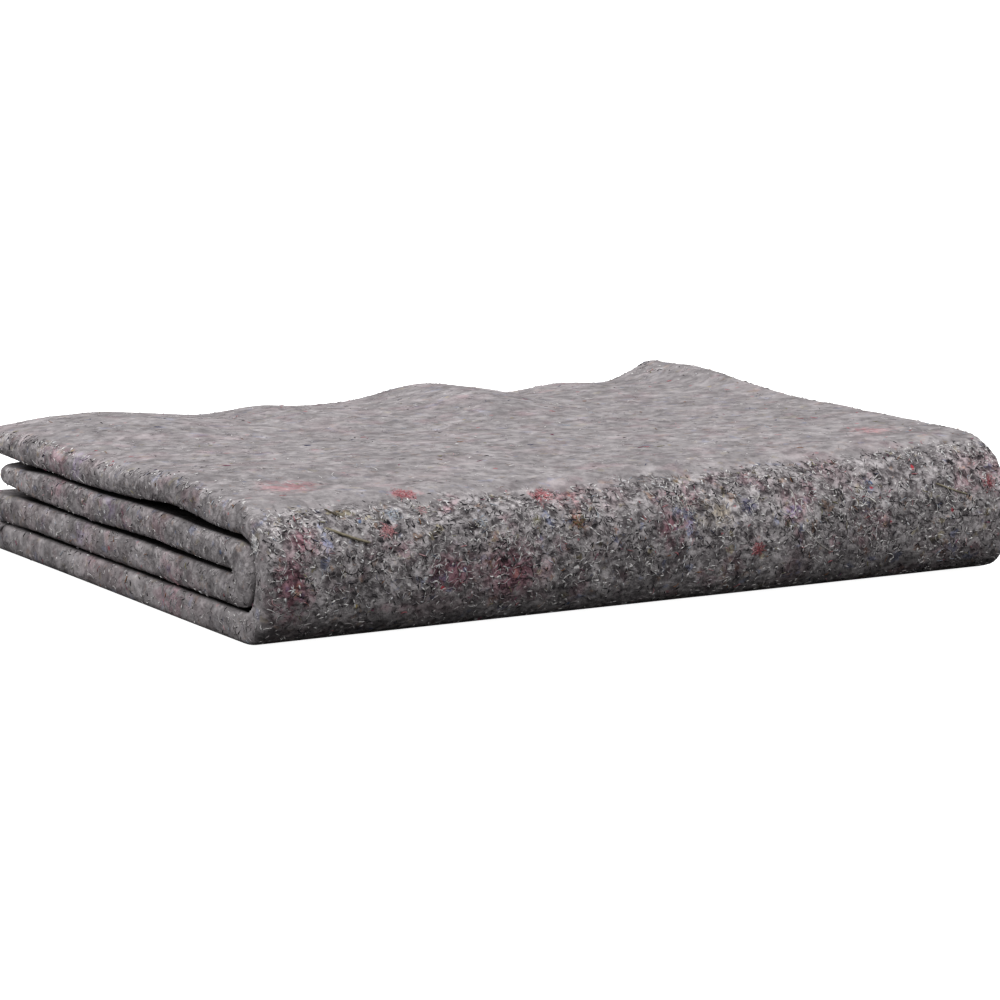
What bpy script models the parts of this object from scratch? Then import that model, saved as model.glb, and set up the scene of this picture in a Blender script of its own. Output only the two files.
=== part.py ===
"""Folded moving blanket: one cut of thick recycled-fibre felt, folded into four layers.

Metres, +Z up.  +X runs along the long folded edge, +Y from the tall front fold to the back,
and the origin is the bottom centre of the bounding box.  The blanket is one closed solid.

Seen from its left end, the cloth runs: free end at the back, top layer forwards, tall outer
fold at the front, bottom layer backwards, back fold, third layer forwards, inner fold at the
front, second layer backwards, free end.  A section across the blanket is a row of stations
along this path.  Each station is a pair of (y, z) points, one on the outer face of the cloth,
which starts as the top, and one on its inner face.  The sections are worked out from the
tables below and lofted along X.  In the tables x counts from the left end and y backwards
from the line where the front fold meets the floor.
"""

import math

import bmesh
import bpy

# Driving sizes
LENGTH = 0.461
THICKNESS = 0.0166
TOP_END_Y = 0.349
SECOND_END_Y = 0.315

# Height of the middle of each layer
LAYER_ROWS = (
    # y, third, second, top
    (-0.010, 0.0258, 0.0445, 0.0641),
    (0.025, 0.0258, 0.0443, 0.0641),
    (0.055, 0.0257, 0.0444, 0.0642),
    (0.085, 0.0258, 0.0453, 0.0645),
    (0.115, 0.0261, 0.0456, 0.0645),
    (0.147, 0.0261, 0.0451, 0.0638),
    (0.180, 0.0258, 0.0443, 0.0629),
    (0.212, 0.0261, 0.0445, 0.0626),
    (0.245, 0.0264, 0.0449, 0.0630),
    (0.280, 0.0262, 0.0449, 0.0629),
    (0.314, 0.0256, 0.0459, 0.0621),
    (0.349, 0.0256, 0.0459, 0.0611),
)
THIRD, SECOND, TOP = 1, 2, 3

# How far the back edge of the top layer rises or dips along the length
BACK_EDGE_ROWS = (
    # x, rise
    (0.000, 0.0003),
    (0.037, 0.0037),
    (0.077, 0.0044),
    (0.112, 0.0014),
    (0.145, -0.0010),
    (0.178, 0.0014),
    (0.212, -0.0006),
    (0.246, 0.0009),
    (0.281, 0.0071),
    (0.298, 0.0078),
    (0.316, 0.0040),
    (0.334, -0.0012),
    (0.352, -0.0030),
    (0.388, -0.0014),
    (0.425, -0.0026),
    (0.443, 0.0025),
    (0.461, 0.0106),
)
BACK_EDGE_START_Y = 0.120
SECOND_SHARE = 0.30

# The top layer arches up near the left end, and lies higher towards the right end
CREST_RISE = 0.0032
CREST_Y = 0.085
CREST_HALF_WIDTH = 0.055
CREST_END_X = 0.220
RIGHT_RISE = 0.0035
RIGHT_RISE_START_X = 0.300

# Folds, one row for each face of the cloth.  Columns: y where the round starts above, y where
# it starts below, height of the nose, y of the nose, squareness above, squareness below
OUTER_FOLD_OUTER_FACE = (0.014, 0.005, 0.0400, -0.0266, 2.25, 2.60)
OUTER_FOLD_INNER_FACE = (0.014, 0.005, 0.0362, -0.0112, 2.80, 2.40)
NOSE_ROWS = (
    # x, how much the nose of the outer fold lies lower, further out, and rounder above
    (0.000, 0.0000, 0.0000, 0.00),
    (0.150, 0.0000, 0.0000, 0.00),
    (0.240, 0.0035, 0.0000, 0.06),
    (0.320, 0.0070, 0.0003, 0.12),
    (0.461, 0.0080, 0.0010, 0.06),
)
LOWER, FURTHER, ROUNDER = 1, 2, 3
BACK_FOLD_OUTER_FACE = (0.322, 0.320, 0.0168, 0.3470, 2.20, 2.40)
BACK_FOLD_INNER_FACE = (0.310, 0.310, 0.0170, 0.3165, 2.00, 2.00)
INNER_FOLD_OUTER_FACE = (0.020, 0.020, 0.0351, 0.0165, 2.00, 2.00)
INNER_FOLD_INNER_FACE = (0.012, 0.012, 0.0352, -0.0100, 2.70, 2.30)

# Cut edges at the two ends, along the path of the section.  A layer stands out of line by a
# little, and the edge of each face is rounded to its own depth and squareness
EDGE_ROWS = (
    # share of the path, left out, right out, outer depth, outer square, inner depth, inner square
    (0.00, 0.0000, 0.0000, 0.0100, 2.0, 0.0060, 3.0),
    (0.15, 0.0006, -0.0006, 0.0110, 2.0, 0.0060, 3.2),
    (0.30, 0.0000, 0.0000, 0.0080, 2.4, 0.0050, 3.2),
    (0.42, -0.0005, 0.0004, 0.0060, 3.2, 0.0060, 3.0),
    (0.55, 0.0004, 0.0000, 0.0070, 2.6, 0.0060, 3.0),
    (0.66, 0.0008, -0.0008, 0.0060, 3.0, 0.0060, 3.4),
    (0.78, 0.0000, 0.0000, 0.0060, 3.0, 0.0070, 2.8),
    (0.90, 0.0004, 0.0008, 0.0060, 3.4, 0.0070, 2.8),
    (1.00, -0.0008, 0.0006, 0.0060, 3.2, 0.0070, 2.6),
)
LEFT_OUT, RIGHT_OUT, OUTER_DEPTH, OUTER_SQUARE, INNER_DEPTH, INNER_SQUARE = 1, 2, 3, 4, 5, 6
EDGE_CUT_SHARE = 0.06

# Free ends: rounded edge, corners drawn back, and felt worn thin over the last stretch
END_DEPTH = 0.0070
END_SQUARE = 2.6
END_START_ANGLE = math.radians(20)
CORNER_RADIUS = 0.016
CORNER_PULL_SHARE = 0.35
WORN_RUN = 0.060
WORN_SHARE = 0.30

# Mesh density
FLAT_STEP = 0.024
OUTER_FOLD_STEPS = 14
SMALL_FOLD_STEPS = 10
END_STEPS = 3
NEAR_END_X = (0.0000, 0.0006, 0.0018, 0.0038, 0.0068, 0.0120, 0.0210)
LENGTH_STEPS = 15


def ease(share):
    """Smooth step from 0 to 1."""
    share = min(max(share, 0.0), 1.0)
    return share * share * (3.0 - 2.0 * share)


def read_rows(rows, at, column):
    """Value of a column at a place in the first column, on a smooth curve through the rows."""
    last = len(rows) - 1
    at = min(max(at, rows[0][0]), rows[last][0])
    index = 0
    while index < last - 1 and at > rows[index + 1][0]:
        index += 1
    before = rows[max(index - 1, 0)]
    low = rows[index]
    high = rows[index + 1]
    after = rows[min(index + 2, last)]
    span = high[0] - low[0]
    share = (at - low[0]) / span
    slope_low = (high[column] - before[column]) / (high[0] - before[0]) * span
    slope_high = (after[column] - low[column]) / (after[0] - low[0]) * span
    square = share * share
    cube = square * share
    return ((2 * cube - 3 * square + 1) * low[column] + (cube - 2 * square + share) * slope_low
            + (3 * square - 2 * cube) * high[column] + (cube - square) * slope_high)


def layer_height(column, x, y):
    """Height of the middle of a layer."""
    height = read_rows(LAYER_ROWS, y, column)
    if column == THIRD:
        return height
    back = ease((y - BACK_EDGE_START_Y) / (TOP_END_Y - BACK_EDGE_START_Y))
    rise = read_rows(BACK_EDGE_ROWS, x, 1) * back
    if column == SECOND:
        return height + SECOND_SHARE * max(rise, 0.0)
    crest = ease(1.0 - abs(y - CREST_Y) / CREST_HALF_WIDTH) * ease(1.0 - x / CREST_END_X)
    along = ease((x - RIGHT_RISE_START_X) / (LENGTH - RIGHT_RISE_START_X))
    return height + rise + CREST_RISE * crest + RIGHT_RISE * along


def corner_pull(x):
    """How far a free end draws back towards the sheet's corners."""
    inside = CORNER_RADIUS - min(x, LENGTH - x)
    if inside <= 0.0:
        return 0.0
    return CORNER_PULL_SHARE * (CORNER_RADIUS - math.sqrt(CORNER_RADIUS ** 2 - inside ** 2))


def free_end(column, x, end_y, start_y):
    """Rows of y, height of the middle and half thickness, from a free end to start_y."""
    end_y -= corner_pull(x)
    full = THICKNESS / 2
    thin = full * (1.0 - WORN_SHARE)
    places = []
    for step in range(END_STEPS):
        angle = END_START_ANGLE + (math.pi / 2 - END_START_ANGLE) * step / END_STEPS
        y = end_y - END_DEPTH * (1.0 - math.cos(angle) ** (2 / END_SQUARE))
        places.append((y, thin * math.sin(angle) ** (2 / END_SQUARE)))
    flat_y = end_y - END_DEPTH
    steps = round((flat_y - start_y) / FLAT_STEP)
    for step in range(steps):
        y = flat_y + (start_y - flat_y) * step / steps
        worn = 1.0 - ease((flat_y - y) / WORN_RUN)
        places.append((y, full * (1.0 - WORN_SHARE * worn)))
    return [(y, layer_height(column, x, y), half) for y, half in places]


def fold_face(shape, top_z, bottom_z, steps):
    """One face of a fold, from its upper start round the nose to its lower start."""
    upper_y, lower_y, nose_z, nose_y, upper_square, lower_square = shape
    points = []
    for step in range(steps + 1):
        angle = math.pi * step / steps
        is_upper = 2 * step <= steps
        power = 2 / (upper_square if is_upper else lower_square)
        start_y = upper_y if is_upper else lower_y
        start_z = top_z if is_upper else bottom_z
        y = start_y + (nose_y - start_y) * abs(math.sin(angle)) ** power
        z = nose_z + (start_z - nose_z) * abs(math.cos(angle)) ** power
        points.append((y, z))
    return points


def outer_fold(shape, x):
    """The row of an outer fold face at a place along the length."""
    upper_y, lower_y, nose_z, nose_y, upper_square, lower_square = shape
    lower, further, rounder = (read_rows(NOSE_ROWS, x, column)
                               for column in (LOWER, FURTHER, ROUNDER))
    return (upper_y, lower_y, nose_z - lower, nose_y - further, upper_square - rounder,
            lower_square)


def flat_run(heights, start_y, end_y):
    """Stations strictly between two folds; heights gives the outer and inner height at y."""
    steps = round(abs(end_y - start_y) / FLAT_STEP)
    places = [start_y + (end_y - start_y) * step / steps for step in range(1, steps)]
    return [((y, heights(y)[0]), (y, heights(y)[1])) for y in places]


def section(x):
    """Stations along the cloth at one place along the length, as (outer, inner) points."""
    half = THICKNESS / 2

    def third_faces(y):
        middle = layer_height(THIRD, x, y)
        return middle + half, middle - half

    def bottom_faces(y):
        return 0.0, THICKNESS

    top_run = free_end(TOP, x, TOP_END_Y, OUTER_FOLD_OUTER_FACE[0])
    stations = [((y, z + thick), (y, z - thick)) for y, z, thick in top_run]

    top_z = layer_height(TOP, x, OUTER_FOLD_OUTER_FACE[0])
    outer = fold_face(outer_fold(OUTER_FOLD_OUTER_FACE, x), top_z + half, 0.0,
                      OUTER_FOLD_STEPS)
    inner = fold_face(outer_fold(OUTER_FOLD_INNER_FACE, x), top_z - half, THICKNESS,
                      OUTER_FOLD_STEPS)
    stations += zip(outer, inner)

    stations += flat_run(bottom_faces, OUTER_FOLD_OUTER_FACE[1], BACK_FOLD_OUTER_FACE[1])

    third_high, third_low = third_faces(BACK_FOLD_OUTER_FACE[0])
    outer = fold_face(BACK_FOLD_OUTER_FACE, third_high, 0.0, SMALL_FOLD_STEPS)
    inner = fold_face(BACK_FOLD_INNER_FACE, third_low, THICKNESS, SMALL_FOLD_STEPS)
    stations += zip(outer[::-1], inner[::-1])

    stations += flat_run(third_faces, BACK_FOLD_OUTER_FACE[0], INNER_FOLD_OUTER_FACE[0])

    front_y = INNER_FOLD_OUTER_FACE[0]
    third_high, third_low = third_faces(front_y)
    second_z = layer_height(SECOND, x, front_y)
    outer = fold_face(INNER_FOLD_OUTER_FACE, second_z - half, third_high, SMALL_FOLD_STEPS)
    inner = fold_face(INNER_FOLD_INNER_FACE, second_z + half, third_low, SMALL_FOLD_STEPS)
    stations += zip(outer[::-1], inner[::-1])

    second_run = free_end(SECOND, x, SECOND_END_Y, front_y)
    stations += [((y, z - thick), (y, z + thick)) for y, z, thick in second_run[::-1]]
    return stations


def edge_share(from_end, depth, square):
    """Share of the half thickness that is left at a distance from a cut edge."""
    inside = 1.0 - EDGE_CUT_SHARE - from_end / depth
    if inside <= 0.0:
        return 1.0
    return (1.0 - inside ** square) ** (1.0 / square)


def section_ring(x):
    """Closed ring of 3-D points round the cloth at x, outer face first, with rounded edges."""
    stations = section(x)
    from_end = min(x, LENGTH - x)
    outer_points = []
    inner_points = []
    for index, (outer, inner) in enumerate(stations):
        edge = [read_rows(EDGE_ROWS, index / (len(stations) - 1), column)
                for column in range(len(EDGE_ROWS[0]))]
        out = edge[LEFT_OUT] * (1.0 - x / LENGTH) + edge[RIGHT_OUT] * x / LENGTH
        middle = [(outer[axis] + inner[axis]) / 2 for axis in (0, 1)]
        outer_share = edge_share(from_end, edge[OUTER_DEPTH], edge[OUTER_SQUARE])
        inner_share = edge_share(from_end, edge[INNER_DEPTH], edge[INNER_SQUARE])
        for face, share, points in ((outer, outer_share, outer_points),
                                    (inner, inner_share, inner_points)):
            y, z = (middle[axis] + (face[axis] - middle[axis]) * share for axis in (0, 1))
            points.append((x + out, y, z))
    return outer_points + inner_points[::-1]


def length_stations():
    """Places along the length, close together at the two rounded ends."""
    start_x = NEAR_END_X[-1]
    step_x = (LENGTH - 2 * start_x) / LENGTH_STEPS
    middle = [start_x + step_x * step for step in range(1, LENGTH_STEPS)]
    return list(NEAR_END_X) + middle + [LENGTH - x for x in NEAR_END_X[::-1]]


def build_mesh():
    """Loft the rings along X and close the two ends across the thickness of the cloth."""
    mesh = bmesh.new()
    rings = [[mesh.verts.new(point) for point in section_ring(x)] for x in length_stations()]
    count = len(rings[0])
    for ring, following in zip(rings, rings[1:]):
        for index in range(count):
            after = (index + 1) % count
            mesh.faces.new((ring[index], ring[after], following[after], following[index]))
    for ring in (rings[0], rings[-1]):
        for index in range(count // 2 - 1):
            across = count - 1 - index
            mesh.faces.new((ring[index], ring[index + 1], ring[across - 1], ring[across]))
    bmesh.ops.recalc_face_normals(mesh, faces=mesh.faces)
    return mesh


def centre_on_floor(mesh):
    """Move the mesh so that the origin is the bottom centre of its bounding box."""
    lows = [min(vert.co[axis] for vert in mesh.verts) for axis in range(3)]
    highs = [max(vert.co[axis] for vert in mesh.verts) for axis in range(3)]
    shift = (-(lows[0] + highs[0]) / 2, -(lows[1] + highs[1]) / 2, -lows[2])
    bmesh.ops.translate(mesh, verts=mesh.verts, vec=shift)


def felt_material():
    """Mixed grey recycled-fibre felt."""
    material = bpy.data.materials.new("grey_felt")
    material.use_nodes = True
    shader = material.node_tree.nodes["Principled BSDF"]
    shader.inputs["Base Color"].default_value = (0.22, 0.205, 0.21, 1.0)
    shader.inputs["Roughness"].default_value = 0.95
    shader.inputs["Metallic"].default_value = 0.0
    return material


def main():
    for old in list(bpy.data.objects):
        bpy.data.objects.remove(old)
    collection = bpy.data.collections.new("folded_moving_blanket")
    bpy.context.scene.collection.children.link(collection)
    mesh = build_mesh()
    centre_on_floor(mesh)
    data = bpy.data.meshes.new("blanket")
    mesh.to_mesh(data)
    mesh.free()
    data.shade_smooth()
    data.materials.append(felt_material())
    collection.objects.link(bpy.data.objects.new("blanket", data))


main()
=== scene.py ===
import bisect
import math
import random

import bmesh
import bpy
import numpy as np
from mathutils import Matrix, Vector, noise
from mathutils.bvhtree import BVHTree


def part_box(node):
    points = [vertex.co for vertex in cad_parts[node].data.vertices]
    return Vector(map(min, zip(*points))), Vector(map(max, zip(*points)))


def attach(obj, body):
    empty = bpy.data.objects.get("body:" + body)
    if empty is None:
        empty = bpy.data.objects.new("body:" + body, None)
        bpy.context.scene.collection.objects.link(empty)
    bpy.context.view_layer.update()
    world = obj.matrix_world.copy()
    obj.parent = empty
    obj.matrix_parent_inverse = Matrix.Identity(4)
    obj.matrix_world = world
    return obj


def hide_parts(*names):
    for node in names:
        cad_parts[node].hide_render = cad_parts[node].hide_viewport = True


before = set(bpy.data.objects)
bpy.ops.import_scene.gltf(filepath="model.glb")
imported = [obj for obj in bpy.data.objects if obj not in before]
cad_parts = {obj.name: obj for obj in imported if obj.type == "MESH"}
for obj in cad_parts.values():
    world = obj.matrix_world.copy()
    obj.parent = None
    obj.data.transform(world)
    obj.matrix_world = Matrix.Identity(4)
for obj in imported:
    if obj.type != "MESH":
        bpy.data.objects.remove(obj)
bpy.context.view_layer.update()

# The folded cloth. These sizes and rows are those of the part's source: x counts from the end
# that shows the layers, and y backwards from the line where the front fold meets the floor
LENGTH = 0.461
THICKNESS = 0.0166
TOP_END_Y = 0.349
SECOND_END_Y = 0.315

LAYER_ROWS = (
    # y, third, second, top
    (-0.010, 0.0258, 0.0445, 0.0641),
    (0.025, 0.0258, 0.0443, 0.0641),
    (0.055, 0.0257, 0.0444, 0.0642),
    (0.085, 0.0258, 0.0453, 0.0645),
    (0.115, 0.0261, 0.0456, 0.0645),
    (0.147, 0.0261, 0.0451, 0.0638),
    (0.180, 0.0258, 0.0443, 0.0629),
    (0.212, 0.0261, 0.0445, 0.0626),
    (0.245, 0.0264, 0.0449, 0.0630),
    (0.280, 0.0262, 0.0449, 0.0629),
    (0.314, 0.0256, 0.0459, 0.0621),
    (0.349, 0.0256, 0.0459, 0.0611),
)
THIRD, SECOND, TOP = 1, 2, 3

BACK_EDGE_ROWS = (
    # x, rise
    (0.000, 0.0003),
    (0.037, 0.0037),
    (0.077, 0.0044),
    (0.112, 0.0014),
    (0.145, -0.0010),
    (0.178, 0.0014),
    (0.212, -0.0006),
    (0.246, 0.0009),
    (0.281, 0.0071),
    (0.298, 0.0078),
    (0.316, 0.0040),
    (0.334, -0.0012),
    (0.352, -0.0030),
    (0.388, -0.0014),
    (0.425, -0.0026),
    (0.443, 0.0025),
    (0.461, 0.0106),
)
BACK_EDGE_START_Y = 0.120
SECOND_SHARE = 0.30
CREST_RISE = 0.0032
CREST_Y = 0.085
CREST_HALF_WIDTH = 0.055
CREST_END_X = 0.220
RIGHT_RISE = 0.0035
RIGHT_RISE_START_X = 0.300

# Folds, one row for each face of the cloth: y where the round starts above and below, height
# and y of the nose, squareness above and below
OUTER_FOLD_OUTER_FACE = (0.014, 0.005, 0.0400, -0.0266, 2.25, 2.60)
OUTER_FOLD_INNER_FACE = (0.014, 0.005, 0.0362, -0.0112, 2.80, 2.40)
NOSE_ROWS = (
    # x, how much the nose of the outer fold lies lower, further out, and rounder above
    (0.000, 0.0000, 0.0000, 0.00),
    (0.150, 0.0000, 0.0000, 0.00),
    (0.240, 0.0035, 0.0000, 0.06),
    (0.320, 0.0070, 0.0003, 0.12),
    (0.461, 0.0080, 0.0010, 0.06),
)
LOWER, FURTHER, ROUNDER = 1, 2, 3
BACK_FOLD_OUTER_FACE = (0.322, 0.320, 0.0168, 0.3470, 2.20, 2.40)
BACK_FOLD_INNER_FACE = (0.310, 0.310, 0.0170, 0.3165, 2.00, 2.00)
INNER_FOLD_OUTER_FACE = (0.020, 0.020, 0.0351, 0.0165, 2.00, 2.00)
INNER_FOLD_INNER_FACE = (0.012, 0.012, 0.0352, -0.0100, 2.70, 2.30)

EDGE_ROWS = (
    # share of the path, left out, right out, outer depth, outer square, inner depth, inner square
    (0.00, 0.0000, 0.0000, 0.0100, 2.0, 0.0060, 3.0),
    (0.15, 0.0006, -0.0006, 0.0110, 2.0, 0.0060, 3.2),
    (0.30, 0.0000, 0.0000, 0.0080, 2.4, 0.0050, 3.2),
    (0.42, -0.0005, 0.0004, 0.0060, 3.2, 0.0060, 3.0),
    (0.55, 0.0004, 0.0000, 0.0070, 2.6, 0.0060, 3.0),
    (0.66, 0.0008, -0.0008, 0.0060, 3.0, 0.0060, 3.4),
    (0.78, 0.0000, 0.0000, 0.0060, 3.0, 0.0070, 2.8),
    (0.90, 0.0004, 0.0008, 0.0060, 3.4, 0.0070, 2.8),
    (1.00, -0.0008, 0.0006, 0.0060, 3.2, 0.0070, 2.6),
)
LEFT_OUT, RIGHT_OUT, OUTER_DEPTH, OUTER_SQUARE, INNER_DEPTH, INNER_SQUARE = 1, 2, 3, 4, 5, 6
EDGE_CUT_SHARE = 0.06

END_DEPTH = 0.0070
END_SQUARE = 2.6
END_START_ANGLE = math.radians(20)
CORNER_RADIUS = 0.016
CORNER_PULL_SHARE = 0.35
WORN_RUN = 0.060
WORN_SHARE = 0.30

# Mesh density
TOP_STEP = 0.0042
HIDDEN_STEP = 0.0070
OUTER_FOLD_STEPS = 36
SMALL_FOLD_STEPS = 14
END_STEPS = 5
NEAR_END_X = (0.0, 0.0003, 0.0008, 0.0016, 0.0027, 0.0042, 0.0062, 0.0090, 0.0125, 0.0165)
LENGTH_STEP = 0.0040
CAP_ROWS = 3
CAP_BULGE = 0.0004


def ease(share):
    """Smooth step from 0 to 1."""
    share = min(max(share, 0.0), 1.0)
    return share * share * (3.0 - 2.0 * share)


def read_rows(rows, at, column):
    """Value of a column at a place in the first column, on a smooth curve through the rows."""
    last = len(rows) - 1
    at = min(max(at, rows[0][0]), rows[last][0])
    index = 0
    while index < last - 1 and at > rows[index + 1][0]:
        index += 1
    before = rows[max(index - 1, 0)]
    low = rows[index]
    high = rows[index + 1]
    after = rows[min(index + 2, last)]
    span = high[0] - low[0]
    share = (at - low[0]) / span
    slope_low = (high[column] - before[column]) / (high[0] - before[0]) * span
    slope_high = (after[column] - low[column]) / (after[0] - low[0]) * span
    square = share * share
    cube = square * share
    return ((2 * cube - 3 * square + 1) * low[column] + (cube - 2 * square + share) * slope_low
            + (3 * square - 2 * cube) * high[column] + (cube - square) * slope_high)


def layer_height(column, x, y):
    """Height of the middle of a layer."""
    height = read_rows(LAYER_ROWS, y, column)
    if column == THIRD:
        return height
    back = ease((y - BACK_EDGE_START_Y) / (TOP_END_Y - BACK_EDGE_START_Y))
    rise = read_rows(BACK_EDGE_ROWS, x, 1) * back
    if column == SECOND:
        return height + SECOND_SHARE * max(rise, 0.0)
    crest = ease(1.0 - abs(y - CREST_Y) / CREST_HALF_WIDTH) * ease(1.0 - x / CREST_END_X)
    along = ease((x - RIGHT_RISE_START_X) / (LENGTH - RIGHT_RISE_START_X))
    return height + rise + CREST_RISE * crest + RIGHT_RISE * along


def corner_pull(x):
    """How far a free end draws back towards the sheet's corners."""
    inside = CORNER_RADIUS - min(x, LENGTH - x)
    if inside <= 0.0:
        return 0.0
    return CORNER_PULL_SHARE * (CORNER_RADIUS - math.sqrt(CORNER_RADIUS ** 2 - inside ** 2))


def free_end(column, x, end_y, start_y, step_y):
    """Rows of y, height of the middle and half thickness, from a free end to start_y."""
    steps = round((end_y - END_DEPTH - start_y) / step_y)
    end_y -= corner_pull(x)
    full = THICKNESS / 2
    thin = full * (1.0 - WORN_SHARE)
    places = []
    for step in range(END_STEPS):
        angle = END_START_ANGLE + (math.pi / 2 - END_START_ANGLE) * step / END_STEPS
        y = end_y - END_DEPTH * (1.0 - math.cos(angle) ** (2 / END_SQUARE))
        places.append((y, thin * math.sin(angle) ** (2 / END_SQUARE)))
    flat_y = end_y - END_DEPTH
    for step in range(steps):
        y = flat_y + (start_y - flat_y) * step / steps
        worn = 1.0 - ease((flat_y - y) / WORN_RUN)
        places.append((y, full * (1.0 - WORN_SHARE * worn)))
    return [(y, layer_height(column, x, y), half) for y, half in places]


def fold_face(shape, top_z, bottom_z, steps):
    """One face of a fold, from its upper start round the nose to its lower start."""
    upper_y, lower_y, nose_z, nose_y, upper_square, lower_square = shape
    points = []
    for step in range(steps + 1):
        angle = math.pi * step / steps
        is_upper = 2 * step <= steps
        power = 2 / (upper_square if is_upper else lower_square)
        start_y = upper_y if is_upper else lower_y
        start_z = top_z if is_upper else bottom_z
        y = start_y + (nose_y - start_y) * abs(math.sin(angle)) ** power
        z = nose_z + (start_z - nose_z) * abs(math.cos(angle)) ** power
        points.append((y, z))
    return points


def outer_fold(shape, x):
    """The row of an outer fold face at a place along the length."""
    upper_y, lower_y, nose_z, nose_y, upper_square, lower_square = shape
    lower, further, rounder = (read_rows(NOSE_ROWS, x, column)
                               for column in (LOWER, FURTHER, ROUNDER))
    return (upper_y, lower_y, nose_z - lower, nose_y - further, upper_square - rounder,
            lower_square)


def flat_run(heights, start_y, end_y):
    """Stations strictly between two folds; heights gives the outer and inner height at y."""
    steps = round(abs(end_y - start_y) / HIDDEN_STEP)
    places = [start_y + (end_y - start_y) * step / steps for step in range(1, steps)]
    return [((y, heights(y)[0]), (y, heights(y)[1])) for y in places]


def section(x):
    """Stations along the cloth as (outer, inner) points, and a flag: is the outer face open."""
    half = THICKNESS / 2

    def third_faces(y):
        middle = layer_height(THIRD, x, y)
        return middle + half, middle - half

    def bottom_faces(y):
        return 0.0, THICKNESS

    top_run = free_end(TOP, x, TOP_END_Y, OUTER_FOLD_OUTER_FACE[0], TOP_STEP)
    stations = [((y, z + thick), (y, z - thick)) for y, z, thick in top_run]

    top_z = layer_height(TOP, x, OUTER_FOLD_OUTER_FACE[0])
    outer = fold_face(outer_fold(OUTER_FOLD_OUTER_FACE, x), top_z + half, 0.0,
                      OUTER_FOLD_STEPS)
    inner = fold_face(outer_fold(OUTER_FOLD_INNER_FACE, x), top_z - half, THICKNESS,
                      OUTER_FOLD_STEPS)
    stations += zip(outer, inner)
    is_open = [True] * len(stations)

    stations += flat_run(bottom_faces, OUTER_FOLD_OUTER_FACE[1], BACK_FOLD_OUTER_FACE[1])
    is_open += [False] * (len(stations) - len(is_open))

    third_high, third_low = third_faces(BACK_FOLD_OUTER_FACE[0])
    outer = fold_face(BACK_FOLD_OUTER_FACE, third_high, 0.0, SMALL_FOLD_STEPS)
    inner = fold_face(BACK_FOLD_INNER_FACE, third_low, THICKNESS, SMALL_FOLD_STEPS)
    stations += zip(outer[::-1], inner[::-1])
    is_open += [True] * (len(stations) - len(is_open))

    stations += flat_run(third_faces, BACK_FOLD_OUTER_FACE[0], INNER_FOLD_OUTER_FACE[0])

    front_y = INNER_FOLD_OUTER_FACE[0]
    third_high, third_low = third_faces(front_y)
    second_z = layer_height(SECOND, x, front_y)
    outer = fold_face(INNER_FOLD_OUTER_FACE, second_z - half, third_high, SMALL_FOLD_STEPS)
    inner = fold_face(INNER_FOLD_INNER_FACE, second_z + half, third_low, SMALL_FOLD_STEPS)
    stations += zip(outer[::-1], inner[::-1])

    second_run = free_end(SECOND, x, SECOND_END_Y, front_y, HIDDEN_STEP)
    stations += [((y, z - thick), (y, z + thick)) for y, z, thick in second_run[::-1]]
    is_open += [False] * (len(stations) - len(is_open))
    return stations, is_open


def edge_share(from_end, depth, square):
    """Share of the half thickness that is left at a distance from a cut edge."""
    inside = 1.0 - EDGE_CUT_SHARE - from_end / depth
    if inside <= 0.0:
        return 1.0
    return (1.0 - inside ** square) ** (1.0 / square)


def length_stations():
    """Places along the length, close together at the two rounded ends."""
    start_x = NEAR_END_X[-1]
    steps = round((LENGTH - 2 * start_x) / LENGTH_STEP)
    step_x = (LENGTH - 2 * start_x) / steps
    middle = [start_x + step_x * step for step in range(1, steps)]
    return list(NEAR_END_X) + middle + [LENGTH - x for x in NEAR_END_X[::-1]]


# Colours of single fibres, and tints that the felt is multiplied by where they gather
PINK = (0.66, 0.40, 0.42)
RED = (0.52, 0.17, 0.19)
PALE_BLUE = (0.50, 0.56, 0.64)
NAVY = (0.070, 0.080, 0.160)
OLIVE = (0.300, 0.280, 0.160)
RUST = (0.300, 0.150, 0.080)
CREAM = (0.760, 0.730, 0.690)
PINK_TINT = (1.40, 0.86, 0.89)
RED_TINT = (1.55, 0.58, 0.62)
BURGUNDY_TINT = (0.88, 0.52, 0.60)
BLUE_TINT = (1.10, 1.25, 1.42)
NAVY_TINT = (0.60, 0.62, 0.90)
OLIVE_TINT = (1.12, 1.05, 0.86)
RUST_TINT = (1.25, 0.74, 0.62)
DIM_TINT = (0.66, 0.63, 0.64)
MAUVE_TINT = (1.16, 0.84, 0.92)
LILAC_TINT = (1.02, 0.92, 1.20)
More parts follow.
